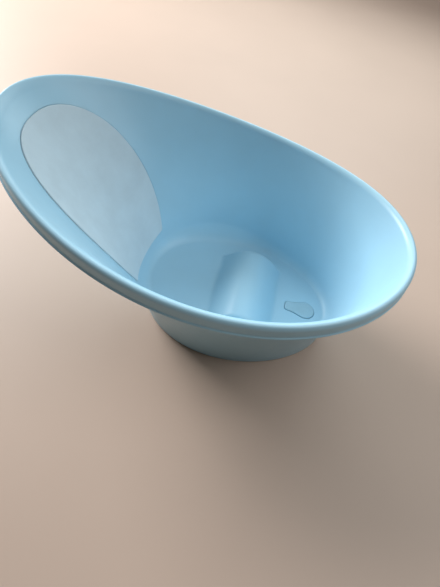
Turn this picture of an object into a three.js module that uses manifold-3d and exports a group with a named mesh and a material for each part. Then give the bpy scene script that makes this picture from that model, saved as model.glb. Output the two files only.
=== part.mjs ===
// Baby bathtub: an oval bowl with a high reclined head end, a seat hump and a floor drain.
// Millimetres, +Z up, +X towards the foot end, the origin on the ground under the middle of the rim.
import * as THREE from "three";
import { mergeVertices } from "three/addons/utils/BufferGeometryUtils.js";
import Module from "manifold-3d";

// ---- Driving dimensions ----
const WALL = 3; // thickness of the moulding
const FLOOR_Z = 26; // top of the bath floor
// The round from the floor into the wall: its width along the floor is smallest at the foot end and largest at the
// sides. Its height is a share of that width, and so is its sharpest place, measured from the wall.
const FILLET = { foot: 12, side: 28, widestAt: -0.35, fade: 0.9, rise: 1.15, bend: 0.25 };
const UNDER_RISE = 0.75; // height of the same round under the floor, as a share of its width
const RING_BOTTOM = 1.5; // underside of the foot ring, held off the ground by the rubber feet
const FLARE = 1.4; // how late the wall leans out on its way up: 1 would be straight

const RIM = { centre: 0, halfLength: 335, halfWidth: 237, egg: 0.023 };
const BASE = { centre: 81.5, halfLength: 190, halfWidth: 148, egg: -0.108 };
const RIM_HEAD_HEIGHT = 333.5;
const RIM_FOOT_HEIGHT = 253.5;
const RIM_MID_HEIGHT = 257.5;

const LIP_WIDTH = 15.7; // across the rolled rim
const LIP_DROP = 8; // from the crest down to where the wall starts
const SKIRT_DROP = 23.7; // from the crest down to the free edge of the skirt
const SKIRT_WALL = 2.8;

const HUMP = { x: 95, halfLength: 63, halfWidth: 102, endRamp: 24, height: 38, power: 1.15, endRound: 14 };

const DRAIN_X = 224; // centre of the stopper
const POCKET = { round: 20.4, tabEnd: -42.5, tabHalf: 12.2, corner: 6, depth: 4 };
const DRAIN_BORE = 14.5;
const DRAIN_BOSS_BOTTOM = 13;
const PLUG_GAP = 0.8; // round the stopper's cap, in its pocket
const PLUG_PROUD = 1.5; // the cap stands this far above the floor
const STEM_RADIUS = 13.9;
const STEM_BOTTOM = 12;
const STEM_HOLLOW = 10.5;

const PAD = { top: 300.5, widestZ: 210, halfWidth: 113, bottomHalf: 74, bottomZ: 50, bottomRise: 14 };
const PAD_FULLNESS = 2.7; // superellipse power of the pad's round upper part
const PAD_TAPER = 1.6; // how late the pad narrows on its way down
const PAD_CENTRE_Z = 175;
const RECESS_DEPTH = 1.2; // of the bed that the pad is bonded into
const PAD_GAP = 0.6; // round the pad, in its bed
const PAD_PROUD = 2.2;
const BOND_LOW = -0.95;
const BOND_HIGH = -0.6;
const PAD_LOW = -0.35;

const FOOT_ANGLES = { head_left: 125, head_right: 235, toe_left: 50, toe_right: 310 };
const FOOT_RADIUS = 9;
const FOOT_HEIGHT = 4;
const SOCKET_RADIUS = 9.4;
const SOCKET_TOP = 4.3;
const POST_RADIUS = 12.5;
const POST_INSET = 15.5; // of a post's axis, inwards from the outside of the ring

// ---- Mesh resolution ----
const AROUND = 72; // sections round the bowl
const WALL_STEPS = 7;
const FILLET_STEPS = 5;
const LIP_STEPS = 8;
const PAD_SIDES = 44;
const PAD_RINGS = 4;
const PAD_BAND = 8; // width of the outermost ring of facets

const wasm = await Module();
wasm.setup();

// ---- Solids ----
function toSolid(geometry) {
  const bare = geometry.clone();
  bare.deleteAttribute("normal");
  bare.deleteAttribute("uv");
  const merged = mergeVertices(bare, 1e-4);
  const solid = new wasm.Manifold(
    new wasm.Mesh({
      numProp: 3,
      vertProperties: new Float32Array(merged.attributes.position.array),
      triVerts: new Uint32Array(merged.index.array),
    }),
  );
  if (solid.volume() <= 0) throw new Error("a solid's faces point inwards");
  return solid;
}

function toGeometry(solid) {
  const mesh = solid.getMesh();
  const geometry = new THREE.BufferGeometry();
  geometry.setAttribute("position", new THREE.BufferAttribute(mesh.vertProperties, 3));
  geometry.setIndex(new THREE.BufferAttribute(mesh.triVerts, 1));
  const flat = geometry.toNonIndexed();
  flat.computeVertexNormals();
  return flat;
}

// A closed surface from rings of points: each ring has the same count, the first and last close on a point.
// From the ring mirrorFrom on, the quads are split the other way, so that a folded-back half matches the first.
function ringsToGeometry(rings, firstPoint, lastPoint, mirrorFrom = Infinity) {
  const points = [firstPoint, ...rings.flat(), lastPoint];
  const count = rings[0].length;
  const last = points.length - 1;
  const at = (ring, i) => 1 + ring * count + (i % count);
  const index = [];
  for (let i = 0; i < count; i++) {
    index.push(0, at(0, i), at(0, i + 1));
    for (let r = 0; r < rings.length - 1; r++) {
      if (r >= mirrorFrom) {
        index.push(at(r, i), at(r + 1, i), at(r, i + 1));
        index.push(at(r + 1, i), at(r + 1, i + 1), at(r, i + 1));
      } else {
        index.push(at(r, i), at(r + 1, i), at(r + 1, i + 1));
        index.push(at(r, i), at(r + 1, i + 1), at(r, i + 1));
      }
    }
    index.push(at(rings.length - 1, i), last, at(rings.length - 1, i + 1));
  }
  const geometry = new THREE.BufferGeometry();
  geometry.setAttribute("position", new THREE.Float32BufferAttribute(points.flatMap((p) => p.toArray()), 3));
  geometry.setIndex(index);
  return geometry;
}

// ---- The bowl's surfaces ----
// A point of an egg-shaped outline, moved inwards by inset.
function outlinePoint(outline, angle, inset) {
  const { centre, halfLength, halfWidth, egg } = outline;
  const c = Math.cos(angle);
  const s = Math.sin(angle);
  const alongX = -halfLength * s;
  const alongY = halfWidth * (c * (1 + egg * c) - egg * s * s);
  const length = Math.hypot(alongX, alongY);
  const x = centre + halfLength * c - (inset * alongY) / length;
  const y = halfWidth * s * (1 + egg * c) + (inset * alongX) / length;
  return new THREE.Vector2(x, y);
}

function rimHeight(x) {
  const t = x / RIM.halfLength;
  const slope = (RIM_FOOT_HEIGHT - RIM_HEAD_HEIGHT) / 2;
  const sag = (RIM_FOOT_HEIGHT + RIM_HEAD_HEIGHT) / 2 - RIM_MID_HEIGHT;
  return RIM_MID_HEIGHT + slope * t + sag * t * t;
}

// A point of the rolled rim: across is measured from the wall outwards, up from the crest.
function rimPoint(angle, across, up) {
  const p = outlinePoint(RIM, angle, LIP_WIDTH - across);
  return new THREE.Vector3(p.x, p.y, rimHeight(p.x) + up);
}

// A point of the wall at a height, on the skin that lies inset inwards from the outer one.
function wallPoint(angle, z, inset) {
  const low = outlinePoint(BASE, angle, inset);
  const high = rimPoint(angle, WALL - inset, -LIP_DROP);
  const lean = Math.pow(z / high.z, FLARE);
  return new THREE.Vector3(low.x + (high.x - low.x) * lean, low.y + (high.y - low.y) * lean, z);
}

// The wall's top point, on the same skin.
function wallTop(angle, inset) {
  return rimPoint(angle, WALL - inset, -LIP_DROP);
}

// How far the wall leans out for each millimetre of height, where it meets the rim.
function wallLean(angle) {
  const low = outlinePoint(BASE, angle, 0);
  const high = wallTop(angle, 0);
  const out = outlinePoint(RIM, angle, 0).sub(outlinePoint(RIM, angle, 1));
  return (((high.x - low.x) * out.x + (high.y - low.y) * out.y) * FLARE) / high.z;
}

// Points over the rolled lip: it leaves the wall in the wall's own direction, crests, and turns straight down.
function lipPoints(angle, from, to, rise, steps) {
  const handle = (4 / 3) * rise;
  const lean = wallLean(angle) * handle;
  const points = [];
  for (let i = 0; i <= steps; i++) {
    const t = i / steps;
    const u = 1 - t;
    const across = from * u * u * (u + 3 * t) + 3 * lean * u * u * t + to * t * t * (t + 3 * u);
    points.push(rimPoint(angle, across, 3 * handle * u * t - LIP_DROP));
  }
  return points;
}

// Radius of the round from the floor into the wall: tight at the foot, wide at the sides towards the head.
function floorFillet(angle) {
  const along = (outlinePoint(BASE, angle, 0).x - BASE.centre) / BASE.halfLength;
  const away = THREE.MathUtils.clamp((along - FILLET.widestAt) / FILLET.fade, -1, 1);
  return THREE.MathUtils.lerp(FILLET.foot, FILLET.side, (1 + Math.cos(Math.PI * away)) / 2);
}

// Points along a quadratic round from one point to another, drawn towards a corner. The first is left out.
function roundPoints(from, corner, to) {
  const points = [];
  for (let i = 1; i <= FILLET_STEPS; i++) {
    const t = i / FILLET_STEPS;
    const a = from.clone().lerp(corner, t);
    const b = corner.clone().lerp(to, t);
    points.push(a.lerp(b, t));
  }
  return points;
}

// The section of the bowl at one angle, from the floor out, over the rim and back to the underside.
function bowlSection(angle) {
  const points = [];
  const corner = wallPoint(angle, FLOOR_Z, WALL);
  const fillet = floorFillet(angle);
  const start = wallPoint(angle, FLOOR_Z + FILLET.rise * fillet, WALL);
  const inward = outlinePoint(BASE, angle, fillet).sub(outlinePoint(BASE, angle, 0));
  const edge = new THREE.Vector3(corner.x + inward.x, corner.y + inward.y, FLOOR_Z);
  const bend = corner.clone().lerp(edge, FILLET.bend);
  const middle = new THREE.Vector3(BASE.centre, 0, FLOOR_Z);
  points.push(middle.clone().lerp(edge, 0.55), edge, ...roundPoints(edge, bend, start));
  const innerTop = wallTop(angle, WALL).z;
  for (let i = 1; i < WALL_STEPS; i++) {
    const z = THREE.MathUtils.lerp(start.z, innerTop, i / WALL_STEPS);
    points.push(wallPoint(angle, z, WALL));
  }
  points.push(...lipPoints(angle, 0, LIP_WIDTH, LIP_DROP, LIP_STEPS));
  points.push(rimPoint(angle, LIP_WIDTH, 1 - SKIRT_DROP));
  points.push(rimPoint(angle, LIP_WIDTH - 1, -SKIRT_DROP));
  points.push(rimPoint(angle, LIP_WIDTH - SKIRT_WALL, 1 - SKIRT_DROP));
  const hollow = lipPoints(angle, WALL, LIP_WIDTH - SKIRT_WALL, LIP_DROP - WALL, LIP_STEPS / 2);
  points.push(...hollow.reverse());
  const outerTop = wallTop(angle, 0).z;
  for (let i = WALL_STEPS - 1; i >= 1; i--) {
    points.push(wallPoint(angle, THREE.MathUtils.lerp(FLOOR_Z, outerTop, i / WALL_STEPS), 0));
  }
  points.push(wallPoint(angle, FLOOR_Z, 0), wallPoint(angle, RING_BOTTOM, 0));
  points.push(wallPoint(angle, RING_BOTTOM, WALL));
  const underCorner = wallPoint(angle, FLOOR_Z - WALL, WALL);
  const underStart = wallPoint(angle, FLOOR_Z - WALL + UNDER_RISE * fillet, WALL);
  const underEdge = new THREE.Vector3(edge.x, edge.y, FLOOR_Z - WALL);
  const underBend = underCorner.clone().lerp(underEdge, FILLET.bend);
  const underMiddle = new THREE.Vector3(BASE.centre, 0, FLOOR_Z - WALL);
  points.push(underCorner, underStart, ...roundPoints(underStart, underBend, underEdge));
  points.push(underMiddle.clone().lerp(underEdge, 0.55));
  return points;
}

function bowlSolid() {
  const sections = [];
  for (let i = 0; i < AROUND; i++) sections.push(bowlSection((2 * Math.PI * i) / AROUND));
  const rings = sections[0].map((_, k) => sections.map((section) => section[k]));
  const top = new THREE.Vector3(BASE.centre, 0, FLOOR_Z);
  const bottom = new THREE.Vector3(BASE.centre, 0, FLOOR_Z - WALL);
  return toSolid(ringsToGeometry(rings, top, bottom));
}

// ---- Seat hump ----
// A ridge across the floor, drawn in by inset, whose skirt reaches down to bottom.
function humpSolid(inset, base, bottom) {
  const halfLength = HUMP.halfLength - inset;
  const halfWidth = HUMP.halfWidth - inset;
  const steps = 16;
  const rise = (x, y) => {
    const across = Math.pow(Math.max(0, Math.cos((Math.PI * x) / (2 * halfLength))), HUMP.power);
    const reach = halfWidth - HUMP.endRound * Math.pow(x / halfLength, 2);
    const toEnd = THREE.MathUtils.clamp((reach - Math.abs(y)) / HUMP.endRamp, 0, 1);
    return base + HUMP.height * across * Math.sin((Math.PI / 2) * toEnd);
  };
  const rings = [];
  for (let j = 0; j <= steps; j++) {
    const y = halfWidth * Math.cos((Math.PI * j) / steps);
    const ring = [];
    for (let i = 0; i <= steps; i++) {
      const x = -halfLength * Math.cos((Math.PI * i) / steps);
      ring.push(new THREE.Vector3(HUMP.x + x, y, rise(x, y)));
    }
    ring.push(new THREE.Vector3(HUMP.x + halfLength, y, bottom));
    ring.push(new THREE.Vector3(HUMP.x - halfLength, y, bottom));
    rings.push(ring);
  }
  const first = new THREE.Vector3(HUMP.x, halfWidth, (base + bottom) / 2);
  const last = new THREE.Vector3(HUMP.x, -halfWidth, (base + bottom) / 2);
  return toSolid(ringsToGeometry(rings, first, last));
}

// ---- Drain ----
// The stopper's outline: a round end towards the foot and a narrower pull tab towards the hump.
function drainShape(grow) {
  const { round, tabEnd, tabHalf, corner } = POCKET;
  const r = round + grow;
  const half = tabHalf + grow;
  const end = tabEnd - grow;
  const shape = new THREE.Shape();
  shape.absarc(0, 0, r, -1.9, 1.9, false);
  shape.quadraticCurveTo(-0.8 * r, 0.72 * r, end + corner * 2, half);
  shape.quadraticCurveTo(end, half, end, half - corner);
  shape.lineTo(end, corner - half);
  shape.quadraticCurveTo(end, -half, end + corner * 2, -half);
  shape.quadraticCurveTo(-0.8 * r, -0.72 * r, r * Math.cos(1.9), -r * Math.sin(1.9));
  return shape;
}

function drainPlate(grow, low, high) {
  const depth = high - low;
  const geometry = new THREE.ExtrudeGeometry(drainShape(grow), { depth, bevelEnabled: false, curveSegments: 7 });
  return geometry.translate(DRAIN_X, 0, low);
}

function post(radius, x, y, low, high, sides = 32) {
  const geometry = new THREE.CylinderGeometry(radius, radius, high - low, sides);
  return geometry.rotateX(Math.PI / 2).translate(x, y, (low + high) / 2);
}

// ---- Backrest pad ----
// The wall point at a given side offset and height on the head end.
function headWallPoint(y, z) {
  let low = Math.PI / 2;
  let high = (3 * Math.PI) / 2;
  for (let i = 0; i < 40; i++) {
    const angle = (low + high) / 2;
    if (wallPoint(angle, z, WALL).y > y) low = angle;
    else high = angle;
  }
  return wallPoint((low + high) / 2, z, WALL);
}

function padHalfWidth(z) {
  if (z > PAD.widestZ) {
    const t = Math.min(1, (z - PAD.widestZ) / (PAD.top - PAD.widestZ));
    return PAD.halfWidth * Math.pow(1 - Math.pow(t, PAD_FULLNESS), 1 / PAD_FULLNESS);
  }
  const cornerZ = PAD.bottomZ + PAD.bottomRise;
  const t = (PAD.widestZ - z) / (PAD.widestZ - cornerZ);
  return PAD.halfWidth - (PAD.halfWidth - PAD.bottomHalf) * Math.pow(t, PAD_TAPER);
}

// How far the outline lies from the pad's centre in one direction, in side offset and height.
function padReach(turn) {
  const c = Math.cos(turn);
  const s = Math.sin(turn);
  const inside = (r) => {
    const y = Math.abs(r * c);
    const z = PAD_CENTRE_Z + r * s;
    const floorZ = PAD.bottomZ + PAD.bottomRise * (y / PAD.bottomHalf) ** 2;
    return z < PAD.top && z > floorZ && y < padHalfWidth(z);
  };
  let near = 0;
  let far = 250;
  for (let i = 0; i < 40; i++) {
    const r = (near + far) / 2;
    if (inside(r)) near = r;
    else far = r;
  }
  return near;
}

// A solid that follows the head wall between two distances from it, with the pad's outline grown by grow.
// Its inner rings don't move with grow, so that the pad, its bond and its bed have parallel facets.
function padSolid(grow, low, high) {
  const skin = (turn, r, away) => {
    const y = r * Math.cos(turn);
    const z = PAD_CENTRE_Z + r * Math.sin(turn);
    const p = headWallPoint(y, z);
    const up = headWallPoint(y, z + 1).sub(p);
    const side = headWallPoint(y + 1, z).sub(p);
    return p.add(side.cross(up).normalize().multiplyScalar(away));
  };
  const turns = Array.from({ length: PAD_SIDES }, (_, i) => (2 * Math.PI * (i + 0.5)) / PAD_SIDES);
  const radius = (turn, ring) => {
    if (ring === PAD_RINGS) return padReach(turn) + grow;
    return ((padReach(turn) - PAD_BAND) * ring) / (PAD_RINGS - 1);
  };
  const ringAt = (ring, away) => turns.map((turn) => skin(turn, radius(turn, ring), away));
  const rings = [];
  for (let ring = 1; ring <= PAD_RINGS; ring++) rings.push(ringAt(ring, high));
  for (let ring = PAD_RINGS; ring >= 1; ring--) rings.push(ringAt(ring, low));
  return toSolid(ringsToGeometry(rings, skin(0, 0, high), skin(0, 0, low), PAD_RINGS));
}

// ---- Feet ----
function footPlace(degrees) {
  return outlinePoint(BASE, THREE.MathUtils.degToRad(degrees), POST_INSET);
}

// ---- The pieces ----
function tubShell() {
  let shell = bowlSolid();
  shell = shell.add(humpSolid(0, FLOOR_Z - 0.4, FLOOR_Z - WALL + 0.6));
  shell = shell.subtract(humpSolid(WALL, FLOOR_Z - WALL - 0.5, FLOOR_Z - WALL - 6));
  const floorInside = FLOOR_Z - WALL / 2;
  for (const degrees of Object.values(FOOT_ANGLES)) {
    const { x, y } = footPlace(degrees);
    shell = shell.add(toSolid(post(POST_RADIUS, x, y, RING_BOTTOM + 0.4, floorInside)));
    shell = shell.subtract(toSolid(post(SOCKET_RADIUS, x, y, RING_BOTTOM - 3, SOCKET_TOP)));
  }
  shell = shell.add(toSolid(drainPlate(WALL + 1, DRAIN_BOSS_BOTTOM, floorInside)));
  shell = shell.subtract(toSolid(drainPlate(0, FLOOR_Z - POCKET.depth, FLOOR_Z + 5)));
  shell = shell.subtract(toSolid(post(DRAIN_BORE, DRAIN_X, 0, 0, FLOOR_Z)));
  return shell.subtract(padSolid(0, -RECESS_DEPTH, 12));
}

function drainPlug() {
  const capLow = FLOOR_Z - POCKET.depth + 0.3;
  const cap = toSolid(drainPlate(-PLUG_GAP, capLow, FLOOR_Z + PLUG_PROUD));
  const stem = toSolid(post(STEM_RADIUS, DRAIN_X, 0, STEM_BOTTOM, capLow + 1));
  const hollow = toSolid(post(STEM_HOLLOW, DRAIN_X, 0, STEM_BOTTOM - 3, capLow - 1));
  return cap.add(stem).subtract(hollow);
}

// ---- Materials ----
const paint = (color, roughness) => new THREE.MeshStandardMaterial({ color, roughness, metalness: 0 });
const shellBlue = paint("#8fc6de", 0.42);
const padGrey = paint("#b9c9d6", 0.75);
const bondWhite = paint("#e6e8e6", 0.6);
const plugBlue = paint("#8fbcd6", 0.55);
const footGrey = paint("#9aa3a8", 0.8);

// ---- Assembly ----
const bathtub = new THREE.Group();

function addPiece(parent, name, solid, material) {
  const mesh = new THREE.Mesh(toGeometry(solid), material);
  mesh.name = name;
  parent.add(mesh);
}

addPiece(bathtub, "tub_shell", tubShell(), shellBlue);
addPiece(bathtub, "backrest_pad", padSolid(-PAD_GAP, PAD_LOW, PAD_PROUD), padGrey);
addPiece(bathtub, "backrest_adhesive", padSolid(-2, BOND_LOW, BOND_HIGH), bondWhite);
addPiece(bathtub, "drain_plug", drainPlug(), plugBlue);

const feet = new THREE.Group();
bathtub.add(feet);
for (const [place, degrees] of Object.entries(FOOT_ANGLES)) {
  const { x, y } = footPlace(degrees);
  addPiece(feet, `rubber_foot_${place}`, toSolid(post(FOOT_RADIUS, x, y, 0, FOOT_HEIGHT, 28)), footGrey);
}

export default bathtub;
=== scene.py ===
"""A baby bathtub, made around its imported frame: moulded shell, backrest pad, drain stopper and feet."""
import math

import bpy
import numpy as np
from mathutils import Matrix, Vector


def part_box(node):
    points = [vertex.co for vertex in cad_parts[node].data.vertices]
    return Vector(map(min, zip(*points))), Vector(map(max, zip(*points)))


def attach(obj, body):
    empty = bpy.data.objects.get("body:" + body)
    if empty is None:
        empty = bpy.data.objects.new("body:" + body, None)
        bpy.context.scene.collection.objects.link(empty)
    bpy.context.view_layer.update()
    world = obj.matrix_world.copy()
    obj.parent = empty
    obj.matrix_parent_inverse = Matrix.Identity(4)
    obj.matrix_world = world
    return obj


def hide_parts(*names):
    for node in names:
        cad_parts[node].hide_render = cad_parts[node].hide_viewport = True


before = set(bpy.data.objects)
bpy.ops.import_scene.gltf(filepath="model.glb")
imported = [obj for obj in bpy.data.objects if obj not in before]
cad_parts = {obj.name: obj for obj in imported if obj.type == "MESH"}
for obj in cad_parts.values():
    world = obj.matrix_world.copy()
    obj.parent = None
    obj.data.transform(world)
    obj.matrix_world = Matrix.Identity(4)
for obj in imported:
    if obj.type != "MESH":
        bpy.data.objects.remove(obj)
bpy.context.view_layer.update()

shell_low, shell_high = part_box("tub_shell")
plug_low, plug_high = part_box("drain_plug")

# ---- Dimensions, in metres ----
MM = 0.001
WALL = 3 * MM
FLOOR_Z = 26 * MM
FILLET_FOOT = 12 * MM  # width of the round from the floor into the wall: tight at the foot,
FILLET_SIDE = 28 * MM  # wide at the sides towards the head
FILLET_WIDEST_AT = -0.35  # along the base, in half lengths from its centre
FILLET_FADE = 0.9  # how far from there it gets tight, in half lengths
FILLET_RISE = 1.15  # its height, as a share of its width
FILLET_BEND = 0.25  # where it bends most, as a share of its width from the wall
UNDER_RISE = 0.75  # height of the same round under the floor, as a share of its width
RING_BOTTOM = shell_low.z
# The foot ring's free edge: height above its bottom and inset from the outer skin
RING_EDGE = ((0.9 * MM, 0), (0.2 * MM, 0.3 * MM), (0, 0.9 * MM), (0, WALL - 0.7 * MM), (0.7 * MM, WALL))
RING_INSIDE = (8 * MM, 15 * MM)  # heights of the rings up its inner skin
FLARE = 1.4  # how late the wall leans out on its way up

# Egg-shaped outlines: centre, half length, half width, and how much wider than an oval the foot end is
RIM_EGG = 0.023
BASE_EGG = -0.108
RIM = (
    (shell_low.x + shell_high.x) / 2,
    (shell_high.x - shell_low.x) / 2,
    (shell_high.y - shell_low.y) / 2,
    RIM_EGG,
)
BASE = (81.5 * MM, 190 * MM, 148 * MM, BASE_EGG)
RIM_HEAD_HEIGHT = 333.5 * MM
RIM_FOOT_HEIGHT = 253.5 * MM
RIM_MID_HEIGHT = 257.5 * MM

LIP_WIDTH = 15.7 * MM
LIP_DROP = 8 * MM
SKIRT_DROP = 23.7 * MM
SKIRT_WALL = 2.8 * MM
BEAD_HEIGHT = 3.2 * MM  # of the thickened free edge of the skirt
BEAD_OUT = 1.8 * MM  # how far it stands out from the skirt
BEAD_ABOVE = 0.9 * MM  # where the skirt runs out into it
BEAD_TURN = (62, -100)  # degrees of its round, from its upper side to its underside
SKIRT_EDGE = ((0.6 * MM, 0.1 * MM), (0, 0.8 * MM))  # across and up from the skirt's inner lower corner
SKIRT_SHARES = (0.25, 0.5, 0.75, 1)  # places of the rings down the skirt's outer face
SKIRT_INNER_SHARES = (0.3, 0.65)  # and up its inner face

HUMP_X = 95 * MM
HUMP_HALF_LENGTH = 63 * MM
HUMP_HALF_WIDTH = 102 * MM
HUMP_HEIGHT = 38 * MM
HUMP_END_RAMP = 24 * MM
HUMP_END_ROUND = 14 * MM  # how far its ends curve back towards its flanks
HUMP_END_STEEPNESS = 1.3  # height that its end ramps head for, as a share of its own
HUMP_END_BLEND = 16 * MM  # how softly its crest turns down into its ends
HUMP_FOOT_BLEND = 5 * MM  # and its flanks into the floor
HUMP_SPAN = 1.7  # half lengths over which its section is followed, past its foot

DRAIN_X = 224 * MM
POCKET_DEPTH = 4 * MM
POCKET_ROUND = 20.4 * MM
POCKET_TAB_END = -42.5 * MM
POCKET_TAB_HALF = 12.2 * MM
POCKET_CORNER = 6 * MM
POCKET_ROUND_TURN = 1.9  # radians from the foot end to where its round end gives way to the neck
POCKET_NECK = (-0.8, 0.72)  # what the neck's curve is drawn towards, in radii
POCKET_STEPS = (40, 20, 14, 6)  # points along the round end, the neck, the corner and half the tab's end
POCKET_MOUTH = 1.1 * MM  # radius of its rounded lip
MOUTH_STEPS = 6
BORE_RADIUS = 14.5 * MM
BOSS_BOTTOM = 13 * MM
BOSS_WALL = 4 * MM
BOSS_EDGE = 1.2 * MM
PLUG_GAP = 0.8 * MM
STEM_RADIUS = 13.9 * MM
STEM_HOLLOW = 10.5 * MM
PLUG_EDGE = 1.5 * MM  # radius of the cap's rounded edge
PLUG_EDGE_STEPS = 8
PLUG_CHAMFER = 0.5 * MM  # of the cap's lower edge
PLUG_SEAT = 0.3 * MM  # from the pocket's floor to the cap's underside
STEM_CHAMFER = (0.9 * MM, 1 * MM)  # width and height, outside at its end
STEM_INNER_CHAMFER = (0.5 * MM, 0.6 * MM)
STEM_CEILING = 1 * MM  # how far the stem's hollow narrows at its top
PLUG_TOP_SHARES = (0.95, 0.8, 0.6, 0.4, 0.2)  # rings over the cap, by how far they are drawn in

PAD_TOP = 300.5 * MM
PAD_WIDEST_Z = 210 * MM
PAD_HALF_WIDTH = 113 * MM
PAD_BOTTOM_HALF = 74 * MM
PAD_BOTTOM_Z = 50 * MM
PAD_BOTTOM_RISE = 14 * MM
PAD_CENTRE_Z = 175 * MM
PAD_SEARCH = 250 * MM  # farther from the centre than any part of its outline
PAD_MEAN_REACH = 110 * MM
PAD_CORNER = 7 * MM
PAD_EDGE = 1.3 * MM  # radius of its rounded front edge
PAD_BACK_SHARE = 0.25  # height of its straight edge, as a share of its thickness
PAD_FULLNESS = 2.7
PAD_TAPER = 1.6
PAD_GAP = 0.6 * MM
PAD_PROUD = 2.2 * MM
PAD_BACK = -0.35 * MM
BED_DEPTH = 1.2 * MM
BED_LIP = 0.5 * MM  # radius of its rounded edge
BED_LIP_RUNOUT = (0.4 * MM, 0.22 * MM)  # where the bed's cutter leaves the wall: outwards and up

POST_RADIUS = 12.5 * MM
SOCKET_RADIUS = 9.4 * MM
SOCKET_TOP = 4.3 * MM
POST_UP = 0.4 * MM  # from the foot ring's bottom to the posts' ends
POST_EDGE = 0.8 * MM
FOOT_EDGE = 0.4 * MM  # of a foot's top
FOOT_ROUND = 0.9 * MM  # of its underside
FOOT_ROUND_STEPS = 5
GROOVES = (6.2, 3.4)  # radii of the grooves in its underside, in millimetres
GROOVE_HALF_MOUTH = 0.5  # in millimetres
GROOVE_HALF_FLOOR = 0.2
GROOVE_DEPTH = 0.5 * MM
FOOT_CENTRE = 1.2 * MM  # radius of the last ring under a foot
FEET = (
    "rubber_foot_head_left",
    "rubber_foot_head_right",
    "rubber_foot_toe_left",
    "rubber_foot_toe_right",
)

# ---- Fineness of the meshes, in rings ----
FLOOR_STEPS = 80
UNDER_FLOOR_STEPS = 60
FILLET_STEPS = 24
UNDER_FILLET_STEPS = 14
WALL_STEPS = 30
OUTER_WALL_STEPS = 34
LIP_STEPS = 26
UNDER_LIP_STEPS = 14
BEAD_STEPS = 12
PAD_STEPS = 25
PAD_EDGE_STEPS = 8
BED_LIP_STEPS = 6
PAD_AROUND = 220
FINE_OUTLINE = 1440  # points of the pad's outline before its corners are rounded
FINE_TURNS = 4001  # directions in which its length is measured
TURNED_SIDES = 64
AROUND = 288  # sections round the bowl
ANGLES = np.linspace(0, 2 * math.pi, AROUND, endpoint=False)
CLOSING = 0.9  # how far the last rings of a drain piece are drawn in before they close
CUT_PAST = 3 * MM  # how far a cutter reaches past the surface that it opens
OUTLINE_HALVINGS = 40
WALL_HALVINGS = 45

# ---- Colours, linear, and roughness ----
SHELL_BLUE = (0.395, 0.645, 0.785)
PAD_GREY = (0.58, 0.7, 0.76)
PLUG_BLUE = (0.36, 0.57, 0.67)
FOOT_GREY = (0.3, 0.33, 0.35)
FILM_WHITE = (0.72, 0.73, 0.7)
STUDIO_SAND = (0.55, 0.42, 0.34)
SHELL_ROUGHNESS = 0.36
PLUG_ROUGHNESS = 0.45
FOOT_ROUGHNESS = 0.6
PAD_ROUGHNESS = 0.62
PLAIN_ROUGHNESS = 0.55  # of the film and the studio floor

# Relief of the materials: strength and depth
MOULD_GRAIN = (0.12, 0.2 * MM)
MOULD_WAVES = (0.05, 2 * MM)
FOAM_CELLS = (0.12, 0.3 * MM)
FOAM_SOFTNESS = (0.1, 2 * MM)
RUBBER_GRAIN = (0.15, 0.2 * MM)
TINT_PLACES = (0.3, 0.5, 0.72)  # noise values of the darker, the middle and the lighter colour
FILM_PLACES = (0.3, 0.5, 0.7)
STUDIO_PLACES = (0.35, 0.5, 0.65)
GLOSS_RANGE = (0.3, 0.7)  # noise values between which the gloss varies

# ---- Camera and light, in metres, radians and watts; lens and sensor in millimetres ----
CAMERA_PLACE = (0.0586, -0.5024, 0.655)
CAMERA_YAW, CAMERA_PITCH, CAMERA_ROLL = -0.0239, 0.9144, 0.2593
CAMERA_LENS = 23.87
SENSOR_WIDTH = 36
STUDIO_HALF = 6
WORLD_COLOUR = (1.0, 0.93, 0.86, 1)
WORLD_STRENGTH = 0.07
WHITE = (1, 1, 1)
DAYLIGHT = (0.82, 0.95, 1.0)
LIGHTS = (  # name, place, what it points at, its two sides, power, colour
    ("window", (-2.8, 1.6, 1.8), (0.25, 0, 0.15), (1.7, 1.7), 184, WHITE),
    ("ceiling", (0.1, 0.2, 2.6), (0, 0, 0.1), (2.6, 2.6), 12, DAYLIGHT),
    ("far_side", (0.2, 1.9, 1.3), (0, 0, 0.2), (1.8, 0.9), 22, DAYLIGHT),
    ("foot_end", (1.7, 0.1, 1.9), (-0.1, 0, 0.15), (1.4, 1.8), 19, WHITE),
)


# ---- Mesh helpers ----
def new_object(name, vertices, faces, material=None):
    mesh = bpy.data.meshes.new(name)
    mesh.from_pydata([tuple(v) for v in vertices], [], faces)
    mesh.update()
    obj = bpy.data.objects.new(name, mesh)
    bpy.context.scene.collection.objects.link(obj)
    if material:
        mesh.materials.append(material)
    return obj


def closed_rings(name, rings, material=None):
    """A closed surface through rings of equal length, the first and the last closed on their middles."""
    count = len(rings[0])
    points = np.concatenate([rings[0].mean(0)[None], *rings, rings[-1].mean(0)[None]])
    last = len(points) - 1
    faces = []
    for i in range(count):
        j = (i + 1) % count
        faces.append((0, 1 + i, 1 + j))
        for r in range(len(rings) - 1):
            a = 1 + r * count
            b = a + count
            faces.append((a + i, b + i, b + j, a + j))
        end = 1 + (len(rings) - 1) * count
        faces.append((end + i, last, end + j))
    return new_object(name, points, faces, material)


def boolean(target, tool, operation):
    """Joins or cuts target with tool, and removes tool."""
    step = target.modifiers.new(operation, "BOOLEAN")
    step.operation = operation
    step.solver = "EXACT"
    step.object = tool
    graph = bpy.context.evaluated_depsgraph_get()
    mesh = bpy.data.meshes.new_from_object(target.evaluated_get(graph))
    target.modifiers.clear()
    target.data = mesh
    bpy.data.objects.remove(tool)


def smooth(obj, degrees=35):
    """Shades obj smooth, apart from edges that turn by more than degrees."""
    obj.data.polygons.foreach_set("use_smooth", [True] * len(obj.data.polygons))
    obj.data.set_sharp_from_angle(angle=math.radians(degrees))


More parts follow.
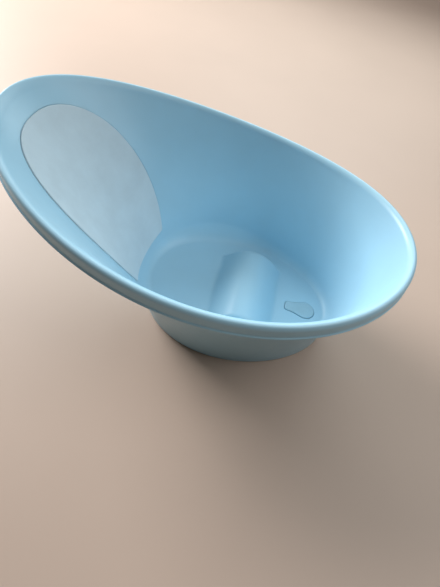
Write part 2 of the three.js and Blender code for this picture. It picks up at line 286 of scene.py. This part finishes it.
# ---- The bowl's surfaces ----
def outline(shape, angle, inset):
    """Points of an egg-shaped outline, moved inwards by inset. Angle 0 is the foot end."""
    centre, half_length, half_width, egg = shape
    c, s = np.cos(angle), np.sin(angle)
    along_x = -half_length * s
    along_y = half_width * (c * (1 + egg * c) - egg * s * s)
    length = np.hypot(along_x, along_y)
    x = centre + half_length * c - inset * along_y / length
    y = half_width * s * (1 + egg * c) + inset * along_x / length
    return x, y


def rim_height(x):
    """Height of the rim's crest: a parabola from the head over the middle to the foot."""
    t = (x - RIM[0]) / RIM[1]
    slope = (RIM_FOOT_HEIGHT - RIM_HEAD_HEIGHT) / 2
    sag = (RIM_FOOT_HEIGHT + RIM_HEAD_HEIGHT) / 2 - RIM_MID_HEIGHT
    return RIM_MID_HEIGHT + slope * t + sag * t * t


def rim_point(angle, across, up):
    """Points of the rolled rim: across is measured from the wall outwards, up from the crest."""
    x, y = outline(RIM, angle, LIP_WIDTH - across)
    return np.stack([x, y, rim_height(x) + up], -1)


def wall_point(angle, z, inset):
    """Points of the wall at a height, on the skin that lies inset inwards from the outer one."""
    low_x, low_y = outline(BASE, angle, inset)
    high = rim_point(angle, WALL - inset, -LIP_DROP)
    lean = (z / high[..., 2]) ** FLARE
    x = low_x + (high[..., 0] - low_x) * lean
    y = low_y + (high[..., 1] - low_y) * lean
    return np.stack([x, y, np.broadcast_to(z, x.shape)], -1)


def wall_rise(inset, start_z, steps):
    """Rings up a skin of the wall, from start_z to just under the rim."""
    top = rim_point(ANGLES, WALL - inset, -LIP_DROP)[:, 2]
    return [wall_point(ANGLES, start_z + (top - start_z) * i / steps, inset) for i in range(1, steps)]


def lip_rings(start, end, rise, steps):
    """Rings over the rolled lip: it leaves the wall in the wall's direction and turns straight down."""
    low = np.stack(outline(BASE, ANGLES, 0), -1)
    high = rim_point(ANGLES, WALL, -LIP_DROP)
    outwards = np.stack(outline(RIM, ANGLES, 0), -1) - np.stack(outline(RIM, ANGLES, 1 * MM), -1)
    lean = ((high[:, :2] - low) * outwards / MM).sum(-1) * FLARE / high[:, 2]
    handle = 4 / 3 * rise  # a cubic with both handles this high crests at rise
    rings = []
    for t in np.linspace(0, 1, steps + 1):
        u = 1 - t
        across = start * u * u * (u + 3 * t) + 3 * lean * handle * u * u * t + end * t * t * (t + 3 * u)
        rings.append(rim_point(ANGLES, across, 3 * handle * u * t - LIP_DROP))
    return rings


def floor_fillet():
    """Width of the round from the floor into the wall, at each angle."""
    along = (outline(BASE, ANGLES, 0)[0] - BASE[0]) / BASE[1]
    away = np.clip((along - FILLET_WIDEST_AT) / FILLET_FADE, -1, 1)
    return FILLET_FOOT + (FILLET_SIDE - FILLET_FOOT) * (1 + np.cos(math.pi * away)) / 2


def smooth_min(a, b, reach):
    """The smaller of a and b, blended where they differ by less than reach."""
    h = np.maximum(reach - np.abs(a - b), 0) / reach
    return np.minimum(a, b) - h * h * reach / 4


def hump(x, y, inset):
    """Height of the seat hump above the floor."""
    half_length = HUMP_HALF_LENGTH - inset
    half_width = HUMP_HALF_WIDTH - inset
    across = np.clip(np.abs(x - HUMP_X) / half_length, 0, HUMP_SPAN)
    ridge = HUMP_HEIGHT * np.cos(math.pi / 2 * across)
    reach = half_width - HUMP_END_ROUND * np.minimum(across, 1) ** 2
    to_end = np.clip((reach - np.abs(y)) / HUMP_END_RAMP, -1, 1)
    end = HUMP_END_STEEPNESS * HUMP_HEIGHT * np.sin(math.pi / 2 * to_end)
    body = smooth_min(ridge, end, HUMP_END_BLEND)
    return -smooth_min(-body, np.zeros_like(body), HUMP_FOOT_BLEND)


def floor_rings(edge, z, inset, steps):
    """Rings from the middle of the floor out to its edge, lifted by the hump."""
    rings = []
    for i in range(1, steps + 1):
        ring = np.empty((AROUND, 3))
        ring[:, 0] = BASE[0] + (edge[:, 0] - BASE[0]) * i / steps
        ring[:, 1] = edge[:, 1] * i / steps
        ring[:, 2] = z + hump(ring[:, 0], ring[:, 1], inset)
        rings.append(ring)
    return rings


def arc(centre, radius, degrees, steps):
    """Rings of a round in the rim's section."""
    start, end = degrees
    rings = []
    for i in range(steps + 1):
        turn = math.radians(start + (end - start) * i / steps)
        across = centre[0] + radius * math.cos(turn)
        rings.append(rim_point(ANGLES, across, centre[1] + radius * math.sin(turn)))
    return rings


def fillet_rings(corner, inner, outer, steps):
    """Rings of a quadratic round from inner to outer, drawn towards corner."""
    rings = []
    for i in range(1, steps):
        t = i / steps
        rings.append(inner * (1 - t) ** 2 + corner * 2 * t * (1 - t) + outer * t * t)
    return rings


def bowl():
    """The plain shell: up its inside, over the lip, round the skirt, down its outside and in below."""
    corner = wall_point(ANGLES, FLOOR_Z, WALL)
    fillet = floor_fillet()
    start = wall_point(ANGLES, FLOOR_Z + FILLET_RISE * fillet, WALL)
    edge = corner.copy()
    for axis in (0, 1):
        edge[:, axis] += outline(BASE, ANGLES, fillet)[axis] - outline(BASE, ANGLES, 0)[axis]
    rings = floor_rings(edge, FLOOR_Z, 0, FLOOR_STEPS)
    bend = corner + FILLET_BEND * (edge - corner)
    rings += fillet_rings(bend, edge, start, FILLET_STEPS) + [start]
    rings += wall_rise(WALL, FLOOR_Z + FILLET_RISE * fillet, WALL_STEPS)
    rings += lip_rings(0, LIP_WIDTH, LIP_DROP, LIP_STEPS)
    bead_top = -SKIRT_DROP + BEAD_HEIGHT
    for share in SKIRT_SHARES:
        up = -LIP_DROP + (bead_top + BEAD_ABOVE + LIP_DROP) * share
        rings.append(rim_point(ANGLES, LIP_WIDTH, up))
    bead = BEAD_HEIGHT / 2
    rings += arc((LIP_WIDTH + BEAD_OUT - bead, bead_top - bead), bead, BEAD_TURN, BEAD_STEPS)
    skirt_inside = LIP_WIDTH - SKIRT_WALL
    rings += [rim_point(ANGLES, skirt_inside + across, -SKIRT_DROP + up) for across, up in SKIRT_EDGE]
    for share in SKIRT_INNER_SHARES:
        rings.append(rim_point(ANGLES, skirt_inside, -SKIRT_DROP + (SKIRT_DROP - LIP_DROP) * share))
    rings += lip_rings(WALL, skirt_inside, LIP_DROP - WALL, UNDER_LIP_STEPS)[::-1]
    rings += wall_rise(0, RING_BOTTOM, OUTER_WALL_STEPS)[::-1]
    rings += [wall_point(ANGLES, RING_BOTTOM + up, inset) for up, inset in RING_EDGE]
    under = FLOOR_Z - WALL
    rings += [wall_point(ANGLES, z, WALL) for z in (*RING_INSIDE, under)]
    under_start = wall_point(ANGLES, under + UNDER_RISE * fillet, WALL)
    under_edge = edge - (0, 0, WALL)
    rings.append(under_start)
    under_corner = wall_point(ANGLES, under, WALL)
    under_bend = under_corner + FILLET_BEND * (under_edge - under_corner)
    rings += fillet_rings(under_bend, under_start, under_edge, UNDER_FILLET_STEPS)
    rings += floor_rings(under_edge, under, WALL, UNDER_FLOOR_STEPS)[::-1]
    return closed_rings("bath_shell", rings)


# ---- Drain ----
def drain_outline(grow):
    """The stopper's outline: a round end towards the foot and a narrower pull tab towards the hump."""
    r = POCKET_ROUND + grow
    half = POCKET_TAB_HALF + grow
    end = POCKET_TAB_END - grow
    corner = POCKET_CORNER
    meet = POCKET_ROUND_TURN
    neck = (POCKET_NECK[0] * r, POCKET_NECK[1] * r)
    round_steps, neck_steps, corner_steps, end_steps = POCKET_STEPS

    def curve(a, control, b, steps):
        t = np.linspace(0, 1, steps, endpoint=False)[:, None]
        return np.array(a) * (1 - t) ** 2 + np.array(control) * 2 * t * (1 - t) + np.array(b) * t * t

    turn = np.linspace(0, meet, round_steps, endpoint=False)
    round_end = (r * math.cos(meet), r * math.sin(meet))
    tab_start, tab_end = (end + 2 * corner, half), (end, half - corner)
    upper = [
        np.stack([r * np.cos(turn), r * np.sin(turn)], -1),
        curve(round_end, neck, tab_start, neck_steps),
        curve(tab_start, (end, half), tab_end, corner_steps),
        curve(tab_end, (end, half / 2 - corner / 2), (end, 0), end_steps),
    ]
    upper = np.concatenate(upper)
    lower = np.concatenate([[(end, 0)], upper[:0:-1] * (1, -1)])
    points = np.concatenate([upper, lower])
    return points + (DRAIN_X, 0)


def drain_ring(grow, z, drawn_in=0):
    """The stopper's outline at a height, drawn in towards its middle line by a share of the way."""
    points = drain_outline(grow)
    middle = np.zeros_like(points)
    middle[:, 0] = np.clip(points[:, 0], DRAIN_X + POCKET_TAB_END + POCKET_TAB_HALF, DRAIN_X)
    points = points + (middle - points) * drawn_in
    return np.column_stack([points, np.full(len(points), z)])


def round_ring(radius, z):
    """A circle with one point for each point of the stopper's outline, in the same direction."""
    points = drain_outline(0) - (DRAIN_X, 0)
    points = points / np.linalg.norm(points, axis=1)[:, None] * radius + (DRAIN_X, 0)
    return np.column_stack([points, np.full(len(points), z)])


def drain_boss():
    """The boss under the floor that holds the stopper's pocket and bore."""
    top = FLOOR_Z - WALL / 2
    rings = [drain_ring(0, BOSS_BOTTOM, CLOSING), drain_ring(BOSS_WALL - BOSS_EDGE, BOSS_BOTTOM)]
    rings += [drain_ring(BOSS_WALL, BOSS_BOTTOM + BOSS_EDGE), drain_ring(BOSS_WALL, top)]
    rings.append(drain_ring(0, top, CLOSING))
    return closed_rings("drain_boss", rings[::-1])


def pocket_cutter():
    """The space of the stopper's pocket, with a rounded mouth."""
    low = FLOOR_Z - POCKET_DEPTH
    high = FLOOR_Z + CUT_PAST
    rings = [drain_ring(0, low, CLOSING), drain_ring(0, low)]
    mouth = POCKET_MOUTH
    for i in range(MOUTH_STEPS + 1):
        turn = math.pi / 2 * i / MOUTH_STEPS
        rings.append(drain_ring(mouth * (1 - math.cos(turn)), FLOOR_Z - mouth * (1 - math.sin(turn))))
    rings += [drain_ring(mouth + 1 * MM, high), drain_ring(0, high, CLOSING)]
    return closed_rings("pocket_cutter", rings[::-1])


def bore_cutter():
    """The drain bore, from the pocket's floor through the boss."""
    low = BOSS_BOTTOM - CUT_PAST
    high = FLOOR_Z - POCKET_DEPTH + 1 * MM
    return closed_rings("bore_cutter", [round_ring(BORE_RADIUS, high), round_ring(BORE_RADIUS, low)])


def stopper(material):
    """The stopper: its cap with a rounded edge, then the hollow stem from outside to inside."""
    top = plug_high.z
    low = FLOOR_Z - POCKET_DEPTH + PLUG_SEAT
    stem_end = plug_low.z
    edge = PLUG_EDGE
    rings = [drain_ring(-PLUG_GAP - edge, top, drawn_in) for drawn_in in PLUG_TOP_SHARES]
    for i in range(PLUG_EDGE_STEPS + 1):
        turn = math.pi / 2 * i / PLUG_EDGE_STEPS
        shrink = edge * (1 - math.sin(turn))
        rings.append(drain_ring(-PLUG_GAP - shrink, top - edge * (1 - math.cos(turn))))
    rings += [drain_ring(-PLUG_GAP, low + PLUG_CHAMFER), drain_ring(-PLUG_GAP - PLUG_CHAMFER, low)]
    stem = [
        (STEM_RADIUS, low),
        (STEM_RADIUS, stem_end + STEM_CHAMFER[1]),
        (STEM_RADIUS - STEM_CHAMFER[0], stem_end),
        (STEM_HOLLOW + STEM_INNER_CHAMFER[0], stem_end),
        (STEM_HOLLOW, stem_end + STEM_INNER_CHAMFER[1]),
        (STEM_HOLLOW, low - STEM_CEILING),
        (STEM_HOLLOW - STEM_CEILING, low - 0.6 * MM),
    ]
    rings += [round_ring(radius, z) for radius, z in stem]
    obj = closed_rings("stopper", rings, material)
    smooth(obj)
    return obj


# ---- Backrest pad ----
def pad_half_width(z):
    """Half the pad's width at a height: full and round above its widest place, tapering below."""
    t = np.clip((z - PAD_WIDEST_Z) / (PAD_TOP - PAD_WIDEST_Z), 0, 1)
    upper = PAD_HALF_WIDTH * (1 - t**PAD_FULLNESS) ** (1 / PAD_FULLNESS)
    t = np.clip((PAD_WIDEST_Z - z) / (PAD_WIDEST_Z - PAD_BOTTOM_Z - PAD_BOTTOM_RISE), 0, None)
    lower = PAD_HALF_WIDTH - (PAD_HALF_WIDTH - PAD_BOTTOM_HALF) * t**PAD_TAPER
    return np.where(z > PAD_WIDEST_Z, upper, lower)


def pad_reach(turn):
    """How far the outline lies from the pad's centre, in side offset and height, for each direction."""
    near, far = np.zeros_like(turn), np.full_like(turn, PAD_SEARCH)
    for _ in range(OUTLINE_HALVINGS):
        r = (near + far) / 2
        y = np.abs(r * np.cos(turn))
        z = PAD_CENTRE_Z + r * np.sin(turn)
        floor_z = PAD_BOTTOM_Z + PAD_BOTTOM_RISE * (y / PAD_BOTTOM_HALF) ** 2
        inside = (z < PAD_TOP) & (z > floor_z) & (y < pad_half_width(z))
        near, far = np.where(inside, r, near), np.where(inside, far, r)
    return near


def head_wall(y, z):
    """The points of the head wall at given side offsets and heights."""
    low, high = np.full_like(y, math.pi / 2), np.full_like(y, 3 * math.pi / 2)
    for _ in range(WALL_HALVINGS):
        angle = (low + high) / 2
        beyond = wall_point(angle, z, WALL)[:, 1] > y
        low, high = np.where(beyond, angle, low), np.where(beyond, high, angle)
    return wall_point((low + high) / 2, z, WALL)


def pad_ring(turn, reach, away):
    """A ring on the head wall at a distance from the pad's centre, lifted off the wall by away."""
    y, z = reach * np.cos(turn), PAD_CENTRE_Z + reach * np.sin(turn)
    p = head_wall(y, z)
    normal = np.cross(head_wall(y + 1 * MM, z) - p, head_wall(y, z + 1 * MM) - p)
    return p + normal / np.linalg.norm(normal, axis=1)[:, None] * away


def pad_turns(count):
    """Directions from the pad's centre to places that lie evenly along its outline."""
    fine = np.linspace(0, 2 * math.pi, FINE_TURNS)
    reach = pad_reach(fine)
    steps = np.hypot(np.diff(reach * np.cos(fine)), np.diff(reach * np.sin(fine)))
    length = np.concatenate([[0], np.cumsum(steps)])
    return np.interp(np.linspace(0, length[-1], count, endpoint=False), length, fine)


def rounded_reach(turn):
    """The outline's reach with its two lower corners rounded."""
    fine = np.linspace(0, 2 * math.pi, FINE_OUTLINE, endpoint=False)
    reach = pad_reach(fine)
    points = np.stack([reach * np.cos(fine), reach * np.sin(fine)], -1)
    window = round(PAD_CORNER / (2 * math.pi * PAD_MEAN_REACH) * FINE_OUTLINE / 2)
    kernel = np.hanning(2 * window + 3)[1:-1]
    kernel /= kernel.sum()
    padded = np.concatenate([points[-window:], points, points[:window]])
    soft = np.stack([np.convolve(padded[:, k], kernel, "valid") for k in (0, 1)], -1)
    angle = np.unwrap(np.arctan2(soft[:, 1], soft[:, 0]))
    radius_at = np.hypot(soft[:, 0], soft[:, 1])
    angle = np.concatenate([angle - 2 * math.pi, angle, angle + 2 * math.pi])
    return np.interp(turn, angle, np.tile(radius_at, 3))


def backrest_pad(material):
    """The pad, from its back in the bed to its face proud of the wall, with a rounded front edge."""
    low, high, edge = PAD_BACK, PAD_PROUD, PAD_EDGE
    turn = pad_turns(PAD_AROUND)
    reach = rounded_reach(turn) - PAD_GAP
    shares = np.linspace(0, 1, PAD_STEPS + 1)[1:]
    rings = [pad_ring(turn, (reach - edge) * share, high) for share in shares]
    for i in range(1, PAD_EDGE_STEPS + 1):
        bend = math.pi / 2 * i / PAD_EDGE_STEPS
        shrink = edge * (1 - math.sin(bend))
        rings.append(pad_ring(turn, reach - shrink, high - edge * (1 - math.cos(bend))))
    rings.append(pad_ring(turn, reach, low + PAD_BACK_SHARE * (high - low)))
    rings += [pad_ring(turn, reach * share, low) for share in shares[::-1]]
    obj = closed_rings("backrest_foam", rings, material)
    smooth(obj)
    return obj


def bed_cutter():
    """The space of the pad's bed, with a rounded lip where it meets the wall."""
    turn = pad_turns(PAD_AROUND)
    reach = rounded_reach(turn)
    lip = BED_LIP
    shares = np.linspace(0, 1, PAD_STEPS + 1)[1:]
    rings = [pad_ring(turn, (reach + CUT_PAST) * share, 2 * CUT_PAST) for share in shares]
    rings.append(pad_ring(turn, reach + lip + BED_LIP_RUNOUT[0], BED_LIP_RUNOUT[1]))
    for i in range(BED_LIP_STEPS, -1, -1):
        bend = math.pi / 2 * i / BED_LIP_STEPS
        rings.append(pad_ring(turn, reach + lip * (1 - math.cos(bend)), -lip * (1 - math.sin(bend))))
    rings += [pad_ring(turn, reach * share, -BED_DEPTH) for share in shares[::-1]]
    return closed_rings("bed_cutter", rings)


# ---- Feet ----
def turned(name, centre, profile, material=None):
    """A round piece from (radius, height) pairs, from the middle of its top to that of its underside."""
    angles = np.linspace(0, 2 * math.pi, TURNED_SIDES, endpoint=False)
    rings = []
    for radius, z in profile:
        x, y = centre[0] + radius * np.cos(angles), centre[1] + radius * np.sin(angles)
        rings.append(np.stack([x, y, np.full(TURNED_SIDES, z)], -1))
    return closed_rings(name, rings, material)


def foot_centre(node):
    low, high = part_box(node)
    return (low.x + high.x) / 2, (low.y + high.y) / 2


def foot_posts(shell):
    """Joins the four posts to the shell, and cuts the sockets for the feet into them."""
    top, low = FLOOR_Z - WALL / 2, RING_BOTTOM + POST_UP
    post = [(POST_RADIUS / 2, top), (POST_RADIUS, top), (POST_RADIUS, low + POST_EDGE)]
    post += [(POST_RADIUS - POST_EDGE, low), (POST_RADIUS / 2, low)]
    socket = [(SOCKET_RADIUS / 2, SOCKET_TOP), (SOCKET_RADIUS, SOCKET_TOP)]
    socket += [(SOCKET_RADIUS, low - CUT_PAST), (SOCKET_RADIUS / 2, low - CUT_PAST)]
    for node in FEET:
        centre = foot_centre(node)
        boolean(shell, turned("post", centre, post), "UNION")
        boolean(shell, turned("socket", centre, socket), "DIFFERENCE")


def rubber_feet(material):
    """The four non-slip feet, each with two grooves in its underside."""
    for node in FEET:
        low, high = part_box(node)
        radius = (high.x - low.x) / 2
        top = high.z
        profile = [(radius / 2, top), (radius - FOOT_EDGE, top), (radius, top - FOOT_EDGE)]
        profile.append((radius, FOOT_ROUND))
        for i in range(1, FOOT_ROUND_STEPS + 1):
            turn = math.pi / 2 * i / FOOT_ROUND_STEPS
            shrink = FOOT_ROUND * (1 - math.cos(turn))
            profile.append((radius - shrink, FOOT_ROUND * (1 - math.sin(turn))))
        for groove in GROOVES:
            profile.append(((groove + GROOVE_HALF_MOUTH) * MM, 0))
            profile.append(((groove + GROOVE_HALF_FLOOR) * MM, GROOVE_DEPTH))
            profile.append(((groove - GROOVE_HALF_FLOOR) * MM, GROOVE_DEPTH))
            profile.append(((groove - GROOVE_HALF_MOUTH) * MM, 0))
        profile.append((FOOT_CENTRE, 0))
        foot = turned(node + "_turned", foot_centre(node), profile, material)
        smooth(foot, degrees=40)
        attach(foot, "bath")
        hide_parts(node)


# ---- Materials ----
class Nodes:
    """A material's nodes, added one by one and joined by name."""

    def __init__(self, name):
        self.material = bpy.data.materials.new(name)
        self.material.use_nodes = True
        self.tree = self.material.node_tree
        self.shader = self.tree.nodes["Principled BSDF"]

    def add(self, kind, **values):
        node = self.tree.nodes.new("ShaderNode" + kind)
        for key, value in values.items():
            if key in node.inputs:
                node.inputs[key].default_value = value
            else:
                setattr(node, key, value)
        return node

    def link(self, a, output, b, entry):
        self.tree.links.new(a.outputs[output], b.inputs[entry])

    def noise(self, scale, detail, roughness):
        """A cloudy pattern, with scale in features to the metre."""
        place = self.add("TexCoord")
        noise = self.add("TexNoise", Scale=scale, Detail=detail, Roughness=roughness)
        self.link(place, "Object", noise, "Vector")
        return noise

    def ramp(self, source, output, stops):
        """Colours by value, from (value, colour) pairs."""
        ramp = self.add("ValToRGB")
        points = ramp.color_ramp.elements
        while len(points) < len(stops):
            points.new(0.5)
        for point, (place, colour) in zip(points, stops):
            point.position = place
            point.color = (*colour, 1)
        self.link(source, output, ramp, "Fac")
        return ramp

    def span(self, source, output, low, high, out_low, out_high):
        """Values from low to high stretched to run from out_low to out_high."""
        node = self.add("MapRange")
        node.inputs["From Min"].default_value = low
        node.inputs["From Max"].default_value = high
        node.inputs["To Min"].default_value = out_low
        node.inputs["To Max"].default_value = out_high
        self.link(source, output, node, "Value")
        return node

    def bump(self, source, output, strength, distance, previous=None):
        """Relief of a depth in metres, added to the relief of the previous bump."""
        node = self.add("Bump", Strength=strength, Distance=distance)
        self.link(source, output, node, "Height")
        if previous:
            self.link(previous, "Normal", node, "Normal")
        return node

    def tint(self, noise, colour, spread, places):
        """Colours the surface with colour, a little darker and a little lighter by the noise."""
        shades = [tuple(min(1, c * (1 + k * spread)) for c in colour) for k in (-1, 0, 1)]
        ramp = self.ramp(noise, "Fac", list(zip(places, shades)))
        self.link(ramp, "Color", self.shader, "Base Color")

    def gloss(self, noise, roughness, spread):
        """Roughness that varies by spread on both sides with the noise."""
        span = self.span(noise, "Fac", *GLOSS_RANGE, roughness - spread, roughness + spread)
        self.link(span, "Result", self.shader, "Roughness")

    def relief(self, bump):
        self.link(bump, "Normal", self.shader, "Normal")

    def set(self, **values):
        """Sets the shader's own sockets; an underscore stands for a space."""
        for key, value in values.items():
            self.shader.inputs[key.replace("_", " ")].default_value = value


def moulded_plastic(name, colour, roughness):
    """Satin moulded plastic: a fine spark-eroded grain, faint flow clouds and uneven gloss."""
    m = Nodes(name)
    m.tint(m.noise(scale=7, detail=4, roughness=0.55), colour, 0.035, TINT_PLACES)
    m.gloss(m.noise(scale=60, detail=5, roughness=0.6), roughness, 0.05)
    grain = m.bump(m.noise(scale=1500, detail=2, roughness=0.5), "Fac", *MOULD_GRAIN)
    waves = m.noise(scale=24, detail=2, roughness=0.4)
    m.relief(m.bump(waves, "Fac", *MOULD_WAVES, grain))
    m.set(Specular_IOR_Level=0.45)
    return m.material


def foam_skin(name, colour, roughness):
    """Closed-cell foam with a matt skin: small cells, soft mottling."""
    m = Nodes(name)
    m.tint(m.noise(scale=22, detail=5, roughness=0.6), colour, 0.05, TINT_PLACES)
    m.set(Roughness=roughness, Sheen_Weight=0.12, Sheen_Roughness=0.4)
    place = m.add("TexCoord")
    cells = m.add("TexVoronoi", Scale=900)
    m.link(place, "Object", cells, "Vector")
    skin = m.bump(cells, "Distance", *FOAM_CELLS)
    mottle = m.noise(scale=35, detail=3, roughness=0.5)
    m.relief(m.bump(mottle, "Fac", *FOAM_SOFTNESS, skin))
    return m.material


def elastomer(name, colour, roughness):
    """Soft rubbery plastic with a fine matt texture."""
    m = Nodes(name)
    m.tint(m.noise(scale=45, detail=4, roughness=0.6), colour, 0.05, TINT_PLACES)
    m.gloss(m.noise(scale=200, detail=3, roughness=0.5), roughness, 0.06)
    m.relief(m.bump(m.noise(scale=1800, detail=2, roughness=0.5), "Fac", *RUBBER_GRAIN))
    return m.material


def adhesive_film(name, colour, roughness):
    """Thin milky bonding film."""
    m = Nodes(name)
    m.tint(m.noise(scale=80, detail=3, roughness=0.5), colour, 0.06, FILM_PLACES)
    m.set(Roughness=roughness)
    return m.material


def studio_floor(name, colour, roughness):
    """The plain matt floor that the bath stands on."""
    m = Nodes(name)
    m.tint(m.noise(scale=2, detail=3, roughness=0.5), colour, 0.02, STUDIO_PLACES)
    m.set(Roughness=roughness)
    return m.material


# ---- Stage ----
def make_camera():
    """The photograph's viewpoint: above the near side, looking steeply down, tilted to one side."""
    level = math.cos(CAMERA_PITCH)
    ahead = Vector((math.sin(CAMERA_YAW) * level, math.cos(CAMERA_YAW) * level, -math.sin(CAMERA_PITCH)))
    right = ahead.cross(Vector((0, 0, 1))).normalized()
    up = right.cross(ahead)
    x_axis = right * math.cos(CAMERA_ROLL) + up * math.sin(CAMERA_ROLL)
    y_axis = up * math.cos(CAMERA_ROLL) - right * math.sin(CAMERA_ROLL)
    camera = bpy.data.objects.new("camera", bpy.data.cameras.new("camera"))
    bpy.context.scene.collection.objects.link(camera)
    camera.data.sensor_width = SENSOR_WIDTH
    camera.data.lens = CAMERA_LENS
    camera.data.clip_start = 10 * MM
    turn = Matrix((x_axis, y_axis, -ahead)).transposed().to_4x4()
    camera.matrix_world = Matrix.Translation(CAMERA_PLACE) @ turn
    bpy.context.scene.camera = camera


def area_light(name, place, target, size, power, colour):
    data = bpy.data.lights.new(name, "AREA")
    data.shape = "RECTANGLE"
    data.size, data.size_y = size
    data.energy = power
    data.color = colour
    light = bpy.data.objects.new(name, data)
    bpy.context.scene.collection.objects.link(light)
    light.location = place
    light.rotation_euler = (Vector(target) - Vector(place)).to_track_quat("-Z", "Y").to_euler()


def make_stage():
    half = STUDIO_HALF
    corners = [(-half, -half, 0), (half, -half, 0), (half, half, 0), (-half, half, 0)]
    material = studio_floor("studio_floor", STUDIO_SAND, PLAIN_ROUGHNESS)
    floor = new_object("studio_floor", corners, [(0, 1, 2, 3)], material)
    world = bpy.data.worlds.new("studio")
    world.use_nodes = True
    background = world.node_tree.nodes["Background"]
    background.inputs["Color"].default_value = WORLD_COLOUR
    background.inputs["Strength"].default_value = WORLD_STRENGTH
    bpy.context.scene.world = world
    bpy.context.scene.view_settings.view_transform = "Standard"
    for light in LIGHTS:
        area_light(*light)


# ---- Assembly ----
def make_shell(material):
    """The shell: the bowl with its drain and posts joined on, and the pad's bed cut in."""
    shell = bowl()
    boolean(shell, drain_boss(), "UNION")
    foot_posts(shell)
    boolean(shell, pocket_cutter(), "DIFFERENCE")
    boolean(shell, bore_cutter(), "DIFFERENCE")
    boolean(shell, bed_cutter(), "DIFFERENCE")
    shell.data.materials.clear()
    shell.data.materials.append(material)
    smooth(shell, degrees=30)
    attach(shell, "bath")
    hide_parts("tub_shell")


make_camera()
make_stage()
make_shell(moulded_plastic("shell_plastic", SHELL_BLUE, SHELL_ROUGHNESS))

pad = backrest_pad(foam_skin("pad_foam", PAD_GREY, PAD_ROUGHNESS))
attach(pad, "bath")
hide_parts("backrest_pad")

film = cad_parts["backrest_adhesive"]
film.data.materials.clear()
film.data.materials.append(adhesive_film("bond_sheet", FILM_WHITE, PLAIN_ROUGHNESS))

plug = stopper(elastomer("plug_elastomer", PLUG_BLUE, PLUG_ROUGHNESS))
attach(plug, "plug")
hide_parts("drain_plug")

rubber_feet(elastomer("foot_rubber", FOOT_GREY, FOOT_ROUGHNESS))
